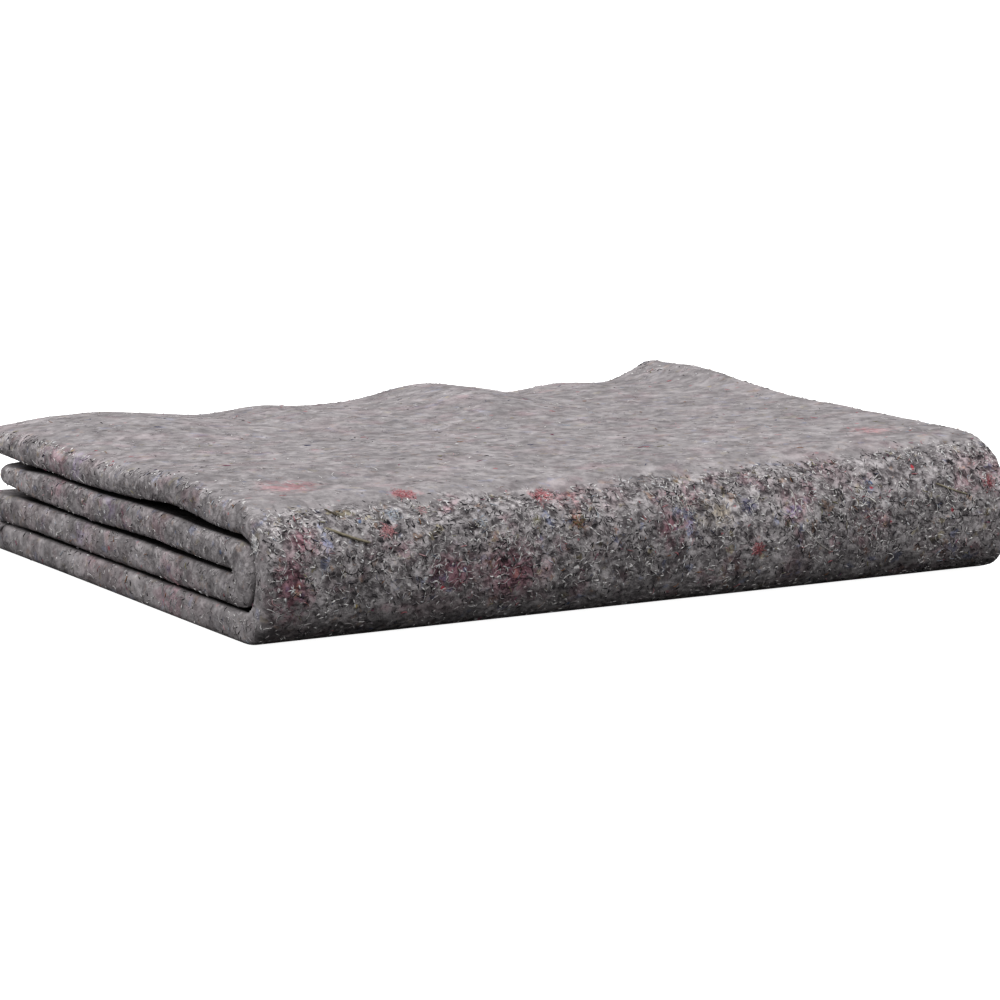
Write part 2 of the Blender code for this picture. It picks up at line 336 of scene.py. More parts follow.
# Patches where fibres of one colour gather; the DIM_TINT rows darken two wide bands of the front
PATCH_ROWS = (
    # x, y, z, half length along X, half size around the section, tint, strength
    (-0.1855, -0.1239, 0.0725, 0.0200, 0.0160, PINK_TINT, 0.62),
    (-0.1383, -0.1612, 0.0708, 0.0085, 0.0060, RED_TINT, 0.80),
    (-0.0638, -0.1738, 0.0660, 0.0075, 0.0055, RED_TINT, 0.80),
    (-0.1596, -0.1832, 0.0566, 0.0045, 0.0042, RED_TINT, 0.80),
    (-0.1533, -0.1770, 0.0634, 0.0040, 0.0060, BLUE_TINT, 0.80),
    (-0.1250, -0.1871, 0.0320, 0.0170, 0.0130, BURGUNDY_TINT, 0.80),
    (-0.0880, -0.1871, 0.0300, 0.0180, 0.0150, BURGUNDY_TINT, 0.90),
    (-0.2172, -0.1861, 0.0324, 0.0120, 0.0200, BURGUNDY_TINT, 0.85),
    (-0.2080, -0.1850, 0.0550, 0.0110, 0.0090, BURGUNDY_TINT, 0.60),
    (-0.0477, -0.1854, 0.0521, 0.0060, 0.0070, RUST_TINT, 0.80),
    (-0.0725, -0.1844, 0.0545, 0.0035, 0.0035, OLIVE_TINT, 0.90),
    (-0.0480, -0.1768, 0.0636, 0.0160, 0.0080, PINK_TINT, 0.45),
    (0.0589, -0.1855, 0.0517, 0.0060, 0.0055, NAVY_TINT, 0.90),
    (0.0380, -0.1852, 0.0500, 0.0120, 0.0090, OLIVE_TINT, 0.80),
    (0.0627, -0.1870, 0.0278, 0.0035, 0.0040, RED_TINT, 0.80),
    (0.0100, -0.1862, 0.0420, 0.0140, 0.0130, BURGUNDY_TINT, 0.60),
    (0.1819, -0.1215, 0.0752, 0.0150, 0.0150, PINK_TINT, 0.60),
    (0.1350, -0.1862, 0.0360, 0.0150, 0.0110, BURGUNDY_TINT, 0.35),
    (0.1150, -0.1810, 0.0610, 0.1000, 0.0130, DIM_TINT, 0.55),
    (-0.0450, -0.1865, 0.0330, 0.0900, 0.0160, DIM_TINT, 0.30),
    (0.2180, -0.1856, 0.0527, 0.0050, 0.0045, RED_TINT, 0.80),
    (-0.2291, 0.0700, 0.0660, 0.0090, 0.0260, MAUVE_TINT, 0.50),
    (-0.2291, 0.0480, 0.0660, 0.0090, 0.0130, LILAC_TINT, 0.60),
    (-0.2301, 0.0030, 0.0465, 0.0080, 0.0110, LILAC_TINT, 0.55),
    (-0.2301, -0.0170, 0.0450, 0.0080, 0.0110, MAUVE_TINT, 0.50),
    (-0.2301, 0.0420, 0.0264, 0.0080, 0.0120, LILAC_TINT, 0.45),
    (-0.2301, -0.0750, 0.0115, 0.0090, 0.0240, MAUVE_TINT, 0.50),
)
PATCH_FADE = 1.5

# Painted shade between the layers: the share of its own colour that the felt keeps, GAP_TONE deep
# inside, all of it on the rounding of a cut end, by the normal along X, and BACK_TONE at the open
# back. The nest is where the inner fold lies against the outer one
GAP_TONE = 0.06
OPEN_FROM = 0.15
OPEN_TO = 0.50
NEST_Y = -0.003
NEST_OPEN_FROM = 0.35
NEST_OPEN_TO = 0.85
BACK_OPEN_FROM = 0.275
BACK_TONE = 0.70

# Felt surface: how far the loft is pushed in and out along its normals
SWELL_ROWS = (
    # size of a wave, height on the open faces, height between the layers, height at a cut edge
    (0.0700, 0.00070, 0.00000, 0.00020),
    (0.0260, 0.00036, 0.00005, 0.00045),
    (0.0105, 0.00012, 0.00010, 0.00040),
    (0.0060, 0.00006, 0.00006, 0.00020),
)
SWELL_SPREAD = Vector((7.3, 3.1, 5.7))
NOISE_REACH = 1.6
FLOOR_FADE = 0.0100
CUT_FADE = 0.0100


def felt_push(point, normal, is_open, from_end):
    """Distance that a point of the felt stands out along its normal."""
    cut = (1.0 - ease(from_end / CUT_FADE)) * abs(normal.x)
    push = 0.0
    for number, (size, open_height, closed_height, cut_height) in enumerate(SWELL_ROWS, start=1):
        flat_height = open_height if is_open else closed_height
        height = flat_height + (cut_height - flat_height) * cut
        push += height * NOISE_REACH * noise.noise(point / size + SWELL_SPREAD * number)
    return push * ease(point.z / FLOOR_FADE)


def loft():
    """Points, faces and (is open, distance to the nearer cut end) marks of the folded cloth."""
    count = len(section(0.0)[0])
    edges = [[read_rows(EDGE_ROWS, index / (count - 1), column)
              for column in range(len(EDGE_ROWS[0]))] for index in range(count)]
    points = []
    marks = []
    for x in length_stations():
        stations, is_open = section(x)
        from_end = min(x, LENGTH - x)
        outer_points = []
        inner_points = []
        for (outer, inner), edge in zip(stations, edges):
            out = edge[LEFT_OUT] * (1.0 - x / LENGTH) + edge[RIGHT_OUT] * x / LENGTH
            middle = [(outer[axis] + inner[axis]) / 2 for axis in (0, 1)]
            outer_share = edge_share(from_end, edge[OUTER_DEPTH], edge[OUTER_SQUARE])
            inner_share = edge_share(from_end, edge[INNER_DEPTH], edge[INNER_SQUARE])
            for face, share, row in ((outer, outer_share, outer_points),
                                     (inner, inner_share, inner_points)):
                y, z = (middle[axis] + (face[axis] - middle[axis]) * share for axis in (0, 1))
                row.append((x + out, y, z))
        points += outer_points + inner_points[::-1]
        marks += [(shown, from_end) for shown in is_open] + [(False, from_end)] * count
    ring = 2 * count
    rings = len(points) // ring
    faces = [(a * ring + b, a * ring + (b + 1) % ring,
              (a + 1) * ring + (b + 1) % ring, (a + 1) * ring + b)
             for a in range(rings - 1) for b in range(ring)]
    for first, side in ((0, -1), ((rings - 1) * ring, 1)):
        rows = [[first + index for index in range(count)]]
        for row in range(1, CAP_ROWS + 1):
            share = row / (CAP_ROWS + 1)
            rows.append([len(points) + index for index in range(count)])
            for index in range(count):
                outer = points[first + index]
                inner = points[first + ring - 1 - index]
                x, y, z = (outer[axis] + (inner[axis] - outer[axis]) * share
                           for axis in range(3))
                points.append((x + side * CAP_BULGE * math.sin(math.pi * share), y, z))
                marks.append((True, 0.0))
        rows.append([first + ring - 1 - index for index in range(count)])
        for above, below in zip(rows, rows[1:]):
            faces += [(above[index], above[index + 1], below[index + 1], below[index])
                      for index in range(count - 1)]
        faces += [tuple(row[index] for row in rows) for index in (0, count - 1)]
    return points, faces, marks


def add_object(name, data):
    """An object of some data, linked to the scene."""
    item = bpy.data.objects.new(name, data)
    bpy.context.scene.collection.objects.link(item)
    return item


def add_mesh(name, points, faces):
    """Smooth-shaded mesh object, with its faces turned outwards."""
    data = bpy.data.meshes.new(name)
    data.from_pydata(points, [], faces)
    mesh = bmesh.new()
    mesh.from_mesh(data)
    bmesh.ops.recalc_face_normals(mesh, faces=mesh.faces)
    mesh.to_mesh(data)
    mesh.free()
    data.shade_smooth()
    return add_object(name, data)


def paint_patches(blanket):
    """Colour attribute of the patches where fibres of one colour gather; alpha is the share."""
    data = blanket.data
    shades = []
    for vertex in data.vertices:
        red, green, blue, share = 0.0, 0.0, 0.0, 0.0
        for x, y, z, along, around, tint, strength in PATCH_ROWS:
            gap = vertex.co - Vector((x, y, z))
            far = math.hypot(gap.x / along, math.hypot(gap.y, gap.z) / around)
            here = strength * (1.0 - ease(far / PATCH_FADE))
            if here > share:
                share = here
                red, green, blue = tint
        shades += (red, green, blue, share)
    data.attributes.new("patches", "FLOAT_COLOR", "POINT").data.foreach_set("color", shades)


def painted_gap_shade(vertex, shown):
    """Painted shade: share of the felt's colour kept, little on the faces between the layers."""
    if shown:
        return 1.0
    is_nested = vertex.co.y < NEST_Y and vertex.co.z > THICKNESS
    start = NEST_OPEN_FROM if is_nested else OPEN_FROM
    end = NEST_OPEN_TO if is_nested else OPEN_TO
    edge = ease((abs(vertex.normal.x) - start) / (end - start))
    back = BACK_TONE * ease((vertex.co.y - BACK_OPEN_FROM) / (SECOND_END_Y - BACK_OPEN_FROM))
    return max(GAP_TONE, edge, back)


def build_blanket():
    """The blanket's cloth, centred on its CAD solid, and the marks of its points."""
    points, faces, marks = loft()
    low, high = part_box("blanket")
    spread = np.array(points)
    middle = (spread.min(axis=0) + spread.max(axis=0)) / 2
    shift = Vector(((low[0] + high[0]) / 2 - middle[0], (low[1] + high[1]) / 2 - middle[1], 0.0))
    blanket = add_mesh("blanket_felt", points, faces)
    vertices = blanket.data.vertices
    pushes = [felt_push(vertex.co, vertex.normal, shown, from_end)
              for vertex, (shown, from_end) in zip(vertices, marks)]
    places = [vertex.co + vertex.normal * push for vertex, push in zip(vertices, pushes)]
    # Painted shade of the gaps between the layers, kept on the points
    light = [painted_gap_shade(vertex, shown) for vertex, (shown, _) in zip(vertices, marks)]
    for vertex, place in zip(vertices, places):
        vertex.co = place + shift
        vertex.co.z = max(vertex.co.z, 0.0)
    blanket.data.update()
    blanket.data.attributes.new("painted_gap_shade", "FLOAT", "POINT").data.foreach_set("value", light)
    paint_patches(blanket)
    return blanket, marks


# Loose fibres that lie on the felt
PALE_COLOURS = ((0.80, 0.78, 0.78), (0.62, 0.59, 0.59), (0.88, 0.86, 0.85), (0.52, 0.48, 0.49))
WHITE_COLOURS = ((0.90, 0.88, 0.87), (0.84, 0.81, 0.80), (0.78, 0.78, 0.80))
GREY_COLOURS = ((0.46, 0.43, 0.44), (0.38, 0.35, 0.36), (0.54, 0.51, 0.52), (0.42, 0.38, 0.42))
DARK_COLOURS = ((0.035, 0.032, 0.036), (0.060, 0.052, 0.056), (0.022, 0.020, 0.025))
TINT_COLOURS = (RED, PINK, PALE_BLUE, NAVY, OLIVE, RUST, (0.30, 0.10, 0.16))
FIBRE_ROWS = (
    # name, colours, count, shortest, longest, thinnest, thickest, curl, lift, share on the flat
    # top, share on the cut ends, seed
    ("pale_flecks", PALE_COLOURS, 9000, 0.0010, 0.0032, 0.00018, 0.00042, 0.35, 0.00020,
     0.02, 0.16, 11),
    ("white_tufts", WHITE_COLOURS, 2000, 0.0012, 0.0030, 0.00030, 0.00058, 0.50, 0.00020,
     0.00, 0.06, 43),
    ("pale_fibres", PALE_COLOURS, 2000, 0.0025, 0.0080, 0.00009, 0.00018, 0.50, 0.00035,
     0.05, 0.40, 29),
    ("grey_fibres", GREY_COLOURS, 3600, 0.0015, 0.0060, 0.00012, 0.00026, 0.50, 0.00025,
     0.25, 0.50, 17),
    ("dark_flecks", DARK_COLOURS, 8000, 0.0012, 0.0034, 0.00016, 0.00042, 0.40, 0.00012,
     0.003, 0.12, 23),
    ("tinted_fibres", TINT_COLOURS, 1400, 0.0012, 0.0050, 0.00014, 0.00030, 0.60, 0.00025,
     0.08, 0.40, 37),
)
CLUMP_SIZE = 0.012
CLUMP_MIDDLE = 0.5
CLUMP_GAIN = 1.7

# Knots: short fibres of one colour that are matted together at one place
KNOT_ROWS = (
    # x, y, z, radius, count, thickness of a fibre, colours
    (-0.1383, -0.1612, 0.0708, 0.0060, 80, 0.00020, (RED, PINK)),
    (-0.0638, -0.1738, 0.0660, 0.0055, 70, 0.00020, (RED, PINK)),
    (-0.1596, -0.1832, 0.0566, 0.0036, 70, 0.00026, (PINK, (0.72, 0.34, 0.36))),
    (0.0627, -0.1870, 0.0278, 0.0026, 50, 0.00022, (RED,)),
    (0.2180, -0.1856, 0.0527, 0.0034, 50, 0.00020, (RED, PINK)),
    (-0.1533, -0.1770, 0.0634, 0.0040, 50, 0.00020, (PALE_BLUE, CREAM)),
    (-0.2301, -0.1747, 0.0527, 0.0024, 60, 0.00036, WHITE_COLOURS),
    (-0.2301, -0.1735, 0.0560, 0.0018, 40, 0.00034, WHITE_COLOURS),
    (-0.1358, -0.1758, 0.0643, 0.0036, 50, 0.00020, (PINK, CREAM)),
    (-0.0477, -0.1854, 0.0521, 0.0040, 45, 0.00018, (RUST, OLIVE)),
    (-0.0725, -0.1844, 0.0545, 0.0020, 40, 0.00018, (OLIVE, CREAM)),
    (0.0589, -0.1855, 0.0517, 0.0038, 36, 0.00018, (NAVY,)),
    (-0.0900, -0.1850, 0.0470, 0.0035, 30, 0.00024, WHITE_COLOURS),
    (-0.1050, -0.1840, 0.0560, 0.0040, 36, 0.00022, (CREAM, PALE_BLUE)),
    (0.0200, -0.1850, 0.0560, 0.0050, 36, 0.00022, (CREAM, PINK)),
    (0.1330, -0.1860, 0.0530, 0.0036, 36, 0.00026, WHITE_COLOURS),
)
KNOT_SEED = 53
KNOT_SPREAD = 0.5
KNOT_LENGTHS = (0.0014, 0.0034)
KNOT_THICKNESSES = (0.6, 1.2)
KNOT_CURL = 0.9
KNOT_LIFT = 0.0004

# Straws and hairs: single long bits caught in the felt
STRAW = (0.330, 0.290, 0.210)
BARK = (0.110, 0.090, 0.065)
STRAW_ROWS = (
    # x, y, z of the left end, length, fall for each metre along, radius, curl, colour
    (-0.1947, -0.1805, 0.0602, 0.0250, 0.70, 0.00080, 0.02, STRAW),
    (-0.1900, -0.1705, 0.0676, 0.0090, 2.20, 0.00062, 0.02, BARK),
    (0.1823, -0.1849, 0.0543, 0.0210, 0.50, 0.00055, 0.03, STRAW),
    (0.0928, -0.1873, 0.0360, 0.0228, 1.00, 0.00024, 0.03, CREAM),
    (0.0872, -0.1817, 0.0587, 0.0260, 1.80, 0.00020, 0.30, CREAM),
    (0.0600, -0.1855, 0.0530, 0.0090, -0.20, 0.00034, 0.10, CREAM),
    (0.1365, -0.1864, 0.0499, 0.0050, 0.60, 0.00045, 0.20, CREAM),
)
STRAW_SEED = 71
STRAW_LIFT = 0.0006

# A fibre as a tube: REST_LIFT and END_RISE are shares of its lift, along it and at its ends
FIBRE_SIDES = 3
FIBRE_STEP = 0.0012
FEWEST_STEPS = 2
REST_LIFT = 0.4
END_RISE = 3.0
RISE_POWER = 3
TURN_DRIFT = 0.5
TURN_SHARE = 0.5
END_TAPER = 0.35

# Where fibres are fewer: on the flat top, on the cut ends and towards the foot
FLOOR_CLEAR = 0.0030
SHOULDER_NORMAL = 0.84
FLAT_TOP_NORMAL = 0.965
CUT_END_NORMAL = 0.70
WORN_HEIGHT = 0.040
WORN_FIBRES = 0.25


class Surface:
    """The open skin of the felt, for picking places at random and for laying things on."""

    def __init__(self, piece, marks):
        data = piece.data
        self.tree = BVHTree.FromPolygons([vertex.co.copy() for vertex in data.vertices],
                                         [tuple(face.vertices) for face in data.polygons])
        self.is_open = []
        self.rows = []
        for face in data.polygons:
            shown = all(marks[index][0] for index in face.vertices)
            self.is_open.append(shown or abs(face.normal.x) > OPEN_TO)
            if self.is_open[-1] and face.center.z > FLOOR_CLEAR:
                self.rows.append((face.center.copy(), face.area, face.normal.copy()))

    def weigh(self, top_share, end_share):
        """Running sums of the areas; the top, the cut ends and the foot count at a share."""
        sums = []
        total = 0.0
        for place, area, normal in self.rows:
            if normal.z > SHOULDER_NORMAL:
                flat = ease((normal.z - SHOULDER_NORMAL) / (FLAT_TOP_NORMAL - SHOULDER_NORMAL))
                area *= 1.0 + (top_share - 1.0) * flat
            elif abs(normal.x) > CUT_END_NORMAL:
                area *= end_share
            elif place.z < WORN_HEIGHT:
                area *= WORN_FIBRES + (1.0 - WORN_FIBRES) * ease(place.z / WORN_HEIGHT)
            total += area
            sums.append(total)
        return sums

    def pick(self, draw, sums):
        """A random place on the open skin."""
        index = bisect.bisect_left(sums, draw.random() * sums[-1])
        return self.rows[min(index, len(sums) - 1)][0]

    def lay(self, place, lift):
        """The nearest place on the skin, raised by lift, its normal, and whether it is open."""
        nearest, normal, index, _ = self.tree.find_nearest(place)
        point = nearest + normal * lift
        point.z = max(point.z, lift)
        return point, normal, self.is_open[index]


class Strands:
    """Closed thin tubes that are gathered into one mesh, each with its own colour."""

    def __init__(self, surface, seed):
        self.surface = surface
        self.draw = random.Random(seed)
        self.points = []
        self.faces = []
        self.shades = []

    def course(self, start, length, curl, lift, heading=None):
        """Points along a fibre that lies on the felt, and their normals; its ends may rise."""
        draw = self.draw
        place, normal, _ = self.surface.lay(start, 0.0)
        side = heading or Vector((draw.gauss(0, 1), draw.gauss(0, 1), draw.gauss(0, 1)))
        heading = (side - normal * side.dot(normal)).normalized()
        turn = draw.gauss(0, 1) * curl
        steps = max(FEWEST_STEPS, round(length / FIBRE_STEP))
        rise_start, rise_end = (draw.random() ** RISE_POWER * lift * END_RISE for _ in range(2))
        points = []
        normals = []
        for step in range(steps + 1):
            share = step / steps
            height = lift * REST_LIFT + rise_start * (1 - share) ** 2 + rise_end * share ** 2
            point, normal, is_open = self.surface.lay(place, height)
            if not is_open:
                break
            points.append(point)
            normals.append(normal)
            turn += draw.gauss(0, 1) * curl * TURN_DRIFT
            angle = turn * TURN_SHARE
            heading = heading * math.cos(angle) + normal.cross(heading) * math.sin(angle)
            heading = (heading - normal * heading.dot(normal)).normalized()
            place = point + heading * (length / steps)
        return points, normals

    def add(self, course, normals, radius, colour):
        """Adds one tube along a course of points, unless the course was cut short."""
        first = len(self.points)
        last = len(course) - 1
        if last < FEWEST_STEPS:
            return
        for index, (point, normal) in enumerate(zip(course, normals)):
            along = (course[min(index + 1, last)] - course[max(index - 1, 0)]).normalized()
            across = along.cross(normal).normalized()
            up = across.cross(along)
            taper = END_TAPER if index in (0, last) else 1.0
            for side in range(FIBRE_SIDES):
                angle = 2 * math.pi * side / FIBRE_SIDES
                offset = across * math.cos(angle) + up * math.sin(angle)
                self.points.append(tuple(point + offset * radius * taper))
                self.shades += (*colour, 1.0)
        for index in range(last):
            low = first + index * FIBRE_SIDES
            for side in range(FIBRE_SIDES):
                after = (side + 1) % FIBRE_SIDES
                self.faces.append((low + side, low + after,
                                   low + FIBRE_SIDES + after, low + FIBRE_SIDES + side))
        end = first + last * FIBRE_SIDES
        self.faces.append(tuple(first + side for side in reversed(range(FIBRE_SIDES))))
        self.faces.append(tuple(end + side for side in range(FIBRE_SIDES)))

    def piece(self, name, material):
        """Makes the mesh object of all the tubes."""
        data = bpy.data.meshes.new(name)
        data.from_pydata(self.points, [], self.faces)
        data.shade_smooth()
        data.attributes.new("shade", "FLOAT_COLOR", "POINT").data.foreach_set("color", self.shades)
        data.materials.append(material)
        piece = add_object(name, data)
        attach(piece, "root")


def build_fibres(surface, row, material):
    """One joined piece of many loose fibres."""
    (name, colours, count, shortest, longest, thinnest, thickest, curl, lift, top_share,
     end_share, seed) = row
    strands = Strands(surface, seed)
    draw = strands.draw
    sums = surface.weigh(top_share, end_share)
    spread = SWELL_SPREAD * seed
    for _ in range(count):
        length = draw.uniform(shortest, longest)
        start = surface.pick(draw, sums)
        clump = noise.noise(start / CLUMP_SIZE + spread)
        if draw.random() > CLUMP_MIDDLE + CLUMP_GAIN * clump:
            continue
        course, normals = strands.course(start, length, curl, lift)
        strands.add(course, normals, draw.uniform(thinnest, thickest), draw.choice(colours))
    strands.piece(name, material)


def build_knots(surface, material):
    """Matted knots of coloured fibre, as one joined piece."""
    strands = Strands(surface, KNOT_SEED)
    draw = strands.draw
    for x, y, z, radius, count, thickness, colours in KNOT_ROWS:
        for _ in range(count):
            spread = Vector([draw.gauss(0, KNOT_SPREAD) * radius for _ in range(3)])
            course, normals = strands.course(Vector((x, y, z)) + spread,
                                             draw.uniform(*KNOT_LENGTHS), KNOT_CURL, KNOT_LIFT)
            strands.add(course, normals, thickness * draw.uniform(*KNOT_THICKNESSES),
                        draw.choice(colours))
    strands.piece("coloured_knots", material)


def build_straws(surface, material):
    """Straws and hairs, as one joined piece."""
    strands = Strands(surface, STRAW_SEED)
    for x, y, z, length, fall, radius, curl, colour in STRAW_ROWS:
        course, normals = strands.course(Vector((x, y, z)), length, curl, STRAW_LIFT,
                                         Vector((1.0, 0.0, -fall)))
        strands.add(course, normals, radius, colour)
    strands.piece("caught_straws", material)


# Patterns of the materials
NOISE_ROWS = {
    # name: scale, detail, roughness
    "slow push": (95.0, 3.0, 0.55),
    "fine push": (560.0, 1.0, 0.55),
    "ragged border": (70.0, 4.0, 0.65),
    "fine grain": (265.0, 4.0, 0.64),
    "coarse grain": (150.0, 3.0, 0.60),
    "tufts": (84.0, 3.5, 0.55),
    "ragged patches": (160.0, 4.0, 0.70),
    # pattern of the painted shade in the pits of the felt
    "pit_shade": (175.0, 3.0, 0.60),
    "clouds": (30.0, 3.0, 0.55),
    "along a fibre": (800.0, 1.0, 0.55),
}
STEP_ROWS = {
    # name: smooth step from, to, value at the first, value at the second
    "calm cut ends": (0.08, 0.60, 1.0, 0.40),
    "calm foot": (0.004, 0.046, 0.48, 1.0),
    "ragged border": (0.30, 0.70, 0.07, -0.07),
    "rough shoulder": (0.96, 0.80, 0.0, 1.0),
    "fine grain": (0.36, 0.64, 0.0, 1.0),
    "coarse grain": (0.34, 0.66, 0.0, 1.0),
    "share of fine grain": (0.0, 0.6, 0.30, 1.0),
    "contrast": (0.0, 1.0, 0.32, 0.78),
    "tufts": (0.34, 0.66, 0.0, 1.0),
    "swing of tufts": (0.97, 0.80, 0.36, 0.56),
    "slope": (0.97, 0.70, 0.0, 1.0),
    # painted shade and light by facing: darker facing down, a little lighter facing up
    "facing_shade": (-0.40, 0.40, -0.14, 0.05),
    "calm colours": (0.0, 1.0, 0.40, 1.0),
    "ragged patches": (0.25, 0.75, -0.55, 0.55),
    "patch": (0.15, 0.75, 0.0, 1.0),
    # painted shade in the pits of the felt, more of it where the felt is rough
    "pit_shade": (0.57, 0.68, 0.0, 1.0),
    "share of soot": (0.0, 1.0, 0.08, 0.70),
    "hairs": (0.84, 1.02, 0.0, 1.0),
    "clouds": (0.30, 0.70, 0.90, 1.10),
    "along a fibre": (0.30, 0.70, 0.80, 1.15),
}


MIDDLE = 0.5
SHEEN_ROUGHNESS = 0.5
# Places of the colour sockets of a mix node
MIX_FIRST = 6
MIX_SECOND = 7
MIX_RESULT = 2


class Graph:
    """Short calls for the nodes of a material."""

    def __init__(self, name, roughness, sheen=0.0, gloss=0.0):
        self.material = bpy.data.materials.new(name)
        self.material.use_nodes = True
        self.nodes = self.material.node_tree.nodes
        self.links = self.material.node_tree.links
        self.shader = self.nodes["Principled BSDF"]
        self.shader.inputs["Roughness"].default_value = roughness
        self.shader.inputs["Specular IOR Level"].default_value = gloss
        self.shader.inputs["Sheen Weight"].default_value = sheen
        self.shader.inputs["Sheen Roughness"].default_value = SHEEN_ROUGHNESS
        coordinates = self.nodes.new("ShaderNodeTexCoord")
        self.place = coordinates.outputs["Object"]
        self.facing = coordinates.outputs["Normal"]

    def feed(self, socket, value):
        """Links a socket to another node's, or sets it to a plain value."""
        if isinstance(value, bpy.types.NodeSocket):
            self.links.new(value, socket)
        else:
            socket.default_value = value

    def calc(self, kind, first, second=0.0):
        node = self.nodes.new("ShaderNodeMath")
        node.operation = kind
        self.feed(node.inputs[0], first)
        self.feed(node.inputs[1], second)
        return node.outputs[0]

    def plus(self, first, second):
        return self.calc("ADD", first, second)

    def minus(self, first, second):
        return self.calc("SUBTRACT", first, second)

    def times(self, first, second):
        return self.calc("MULTIPLY", first, second)

    def vector_math(self, kind, first, second):
        node = self.nodes.new("ShaderNodeVectorMath")
        node.operation = kind
        self.feed(node.inputs[0], first)
        self.feed(node.inputs[1], second)
        return node.outputs[0]

    def shift(self, place, offset):
        """A place moved by a fixed offset, for a pattern of its own."""
        return self.vector_math("ADD", place, offset)

    def push(self, place, name, reach, read_at):
        """A place pushed to and fro by the colour of a named noise that is read at another."""
        amount = self.vector_math("SUBTRACT", self.noise(read_at, name, "Color"), (MIDDLE,) * 3)
        pushed = self.vector_math("MULTIPLY", amount, (reach,) * 3)
        return self.vector_math("ADD", pushed, place)

    def gain(self, colour, value):
        """A colour times a value."""
        node = self.nodes.new("ShaderNodeVectorMath")
        node.operation = "SCALE"
        self.feed(node.inputs[0], colour)
        self.feed(node.inputs["Scale"], value)
        return node.outputs[0]

    def part(self, vector, index):
        """One of the three numbers of a vector or colour."""
        node = self.nodes.new("ShaderNodeSeparateXYZ")
        self.links.new(vector, node.inputs[0])
        return node.outputs[index]

    def free_noise(self, place, scale, detail, rough, kind="FBM"):
        node = self.nodes.new("ShaderNodeTexNoise")
        node.noise_type = kind
        self.links.new(place, node.inputs["Vector"])
        node.inputs["Scale"].default_value = scale
        node.inputs["Detail"].default_value = detail
        node.inputs["Roughness"].default_value = rough
        return node.outputs

    def noise(self, place, name, output="Fac"):
        """A noise of NOISE_ROWS."""
        return self.free_noise(place, *NOISE_ROWS[name])[output]

    def cells(self, place, scale):
        node = self.nodes.new("ShaderNodeTexVoronoi")
        self.links.new(place, node.inputs["Vector"])
        node.inputs["Scale"].default_value = scale
        return node.outputs

    def free_step(self, value, low, high, to_low, to_high):
        """Smooth step of a value between two limits."""
        node = self.nodes.new("ShaderNodeMapRange")
        node.interpolation_type = "SMOOTHSTEP"
        self.feed(node.inputs["Value"], value)
        node.inputs["From Min"].default_value = low
        node.inputs["From Max"].default_value = high
        node.inputs["To Min"].default_value = to_low
        node.inputs["To Max"].default_value = to_high
        return node.outputs["Result"]

    def step(self, value, name):
        """A smooth step of STEP_ROWS."""
        return self.free_step(value, *STEP_ROWS[name])

    def mix(self, factor, first, second, kind="MIX"):
        node = self.nodes.new("ShaderNodeMix")
        node.data_type = "RGBA"
        node.blend_type = kind
        self.feed(node.inputs["Factor"], factor)
        for index, value in ((MIX_FIRST, first), (MIX_SECOND, second)):
            linked = isinstance(value, bpy.types.NodeSocket)
            self.feed(node.inputs[index], value if linked else (*value, 1.0))
        return node.outputs[MIX_RESULT]

    def tint(self, share, colour, tint):
        """A colour that is multiplied by a tint in some share."""
        return self.mix(share, colour, self.mix(1.0, colour, tint, kind="MULTIPLY"))

    def attribute(self, name):
        node = self.nodes.new("ShaderNodeAttribute")
        node.attribute_name = name
        return node.outputs

    def bump(self, height, distance, strength):
        node = self.nodes.new("ShaderNodeBump")
        node.inputs["Distance"].default_value = distance
        node.inputs["Strength"].default_value = strength
        self.links.new(height, node.inputs["Height"])
        self.links.new(node.outputs["Normal"], self.shader.inputs["Normal"])

    def finish(self, colour):
        self.links.new(colour, self.shader.inputs["Base Color"])
        return self.material


FELT_ROUGHNESS = 0.95
FELT_DARK = (0.072, 0.063, 0.067)
FELT_LIGHT = (0.570, 0.534, 0.546)
LINT = (0.800, 0.775, 0.780)
# Near-black painted shade in the pits of the felt
PIT_SHADE = (0.030, 0.027, 0.030)
SLOW_PUSH = 0.0060
FINE_PUSH = 0.0012
PATCH_OFFSET = (2.0, 6.0, 4.0)
PATCH_GAIN = 1.5
PIT_SHADE_OFFSET = (5.0, 1.0, 8.0)

TINT_ROWS = (
    # tint that multiplies, size of a cloud, threshold, softness, strength, offset
    ((1.05, 0.66, 0.74), 0.0190, 0.56, 0.14, 0.55, (3.0, 0.0, 0.0)),
    ((1.20, 0.94, 0.98), 0.0420, 0.50, 0.20, 0.50, (0.0, 5.0, 0.0)),
    ((0.70, 0.84, 1.25), 0.0120, 0.61, 0.08, 0.70, (0.0, 0.0, 7.0)),
    ((1.05, 0.98, 0.62), 0.0100, 0.62, 0.07, 0.70, (9.0, 2.0, 0.0)),
    ((1.05, 0.76, 0.56), 0.0085, 0.62, 0.07, 0.70, (1.0, 8.0, 4.0)),
)
TINT_DETAIL = 3.0
TINT_ROUGH = 0.6

HAIR_ROWS = (
    # scale, offset, share where the felt is calm, share where it is rough
    (210.0, (0.0, 0.0, 0.0), 0.06, 0.50),
    (260.0, (3.0, 7.0, 2.0), 0.06, 0.45),
)
HAIR_DETAIL = 1.5
HAIR_ROUGH = 0.6

